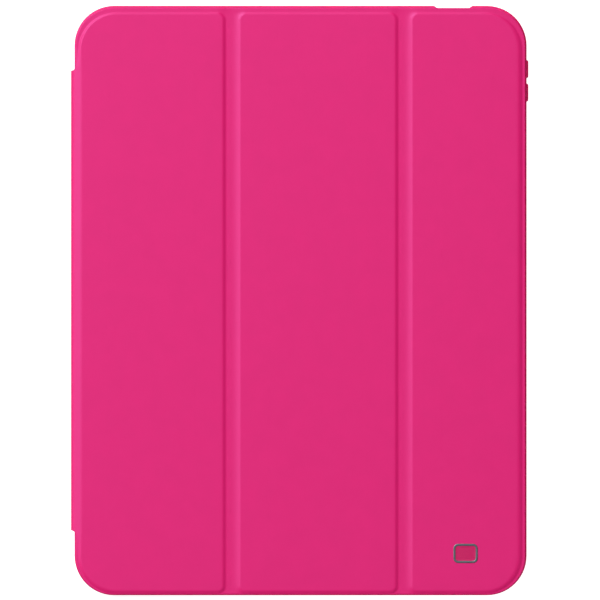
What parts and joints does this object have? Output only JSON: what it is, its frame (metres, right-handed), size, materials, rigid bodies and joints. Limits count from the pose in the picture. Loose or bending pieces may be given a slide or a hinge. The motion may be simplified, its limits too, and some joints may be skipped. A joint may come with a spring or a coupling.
{
  "type": "tablet case",
  "caption": "Closed folio case for a large tablet: moulded back tray with a spine strip and a soft cover that folds in padded panels into a stand.",
  "frame": {"origin": "centre of the whole case's footprint, on the flat back that it lies on", "axes": "+Z out of the closed front cover, +Y towards the case's top edge, +X towards the cover's free edge; the spine is on the -X side"},
  "size_m": [0.2218, 0.2858, 0.0119],
  "materials": {
    "moulded_tray": "satin soft-touch moulded TPU",
    "cover_skin": "matte fine-grained PU leather",
    "cover_lining": "brushed microfibre",
    "stiffener_board": "plain board",
    "plated_magnet": "nickel-plated",
    "badge_metal": "dark brushed gunmetal"
  },
  "bodies": {
    "shell": {"back_shell": "moulded_tray", "back_flap_skin": "cover_skin"},
    "volume_up": {"volume_up_button": "moulded_tray"},
    "volume_down": {"volume_down_button": "moulded_tray"},
    "spine": {"spine_skin": "cover_skin", "spine_lining": "cover_lining"},
    "panel_1": {"panel_1_skin": "cover_skin", "panel_1_board": "stiffener_board", "panel_1_lining": "cover_lining", "panel_1_magnet_1": "plated_magnet", "panel_1_magnet_2": "plated_magnet", "panel_1_magnet_3": "plated_magnet", "panel_1_magnet_4": "plated_magnet"},
    "panel_2": {"panel_2_skin": "cover_skin", "panel_2_board": "stiffener_board", "panel_2_lining": "cover_lining"},
    "panel_3": {"panel_3_skin": "cover_skin", "panel_3_board": "stiffener_board", "panel_3_lining": "cover_lining", "panel_3_magnet_1": "plated_magnet", "panel_3_magnet_2": "plated_magnet", "panel_3_magnet_3": "plated_magnet", "panel_3_magnet_4": "plated_magnet", "sleep_magnet": "plated_magnet", "front_badge": "badge_metal"}
  },
  "joints": [
    {"name": "volume_up_press", "type": "slide", "parent": "shell", "child": "volume_up", "axis": [-1, 0, 0], "range_m": [0, 0.0005], "stiffness_N_per_m": 3000},
    {"name": "volume_down_press", "type": "slide", "parent": "shell", "child": "volume_down", "axis": [-1, 0, 0], "range_m": [0, 0.0005], "stiffness_N_per_m": 3000},
    {"name": "spine_back_hinge", "type": "hinge", "parent": "shell", "child": "spine", "pos_m": [-0.1109, 0, -0.0006], "axis": [0, -1, 0], "range_deg": [0, 270]},
    {"name": "cover_hinge", "type": "hinge", "parent": "spine", "child": "panel_1", "pos_m": [-0.1109, 0, 0.0116], "axis": [0, -1, 0], "range_deg": [0, 90]},
    {"name": "fold_1", "type": "hinge", "parent": "panel_1", "child": "panel_2", "pos_m": [-0.0329, 0, 0.0105], "axis": [0, 1, 0], "range_deg": [-135, 0]},
    {"name": "fold_2", "type": "hinge", "parent": "panel_2", "child": "panel_3", "pos_m": [0.0506, 0, 0.0105], "axis": [0, 1, 0], "range_deg": [-123, 0]}
  ]
}
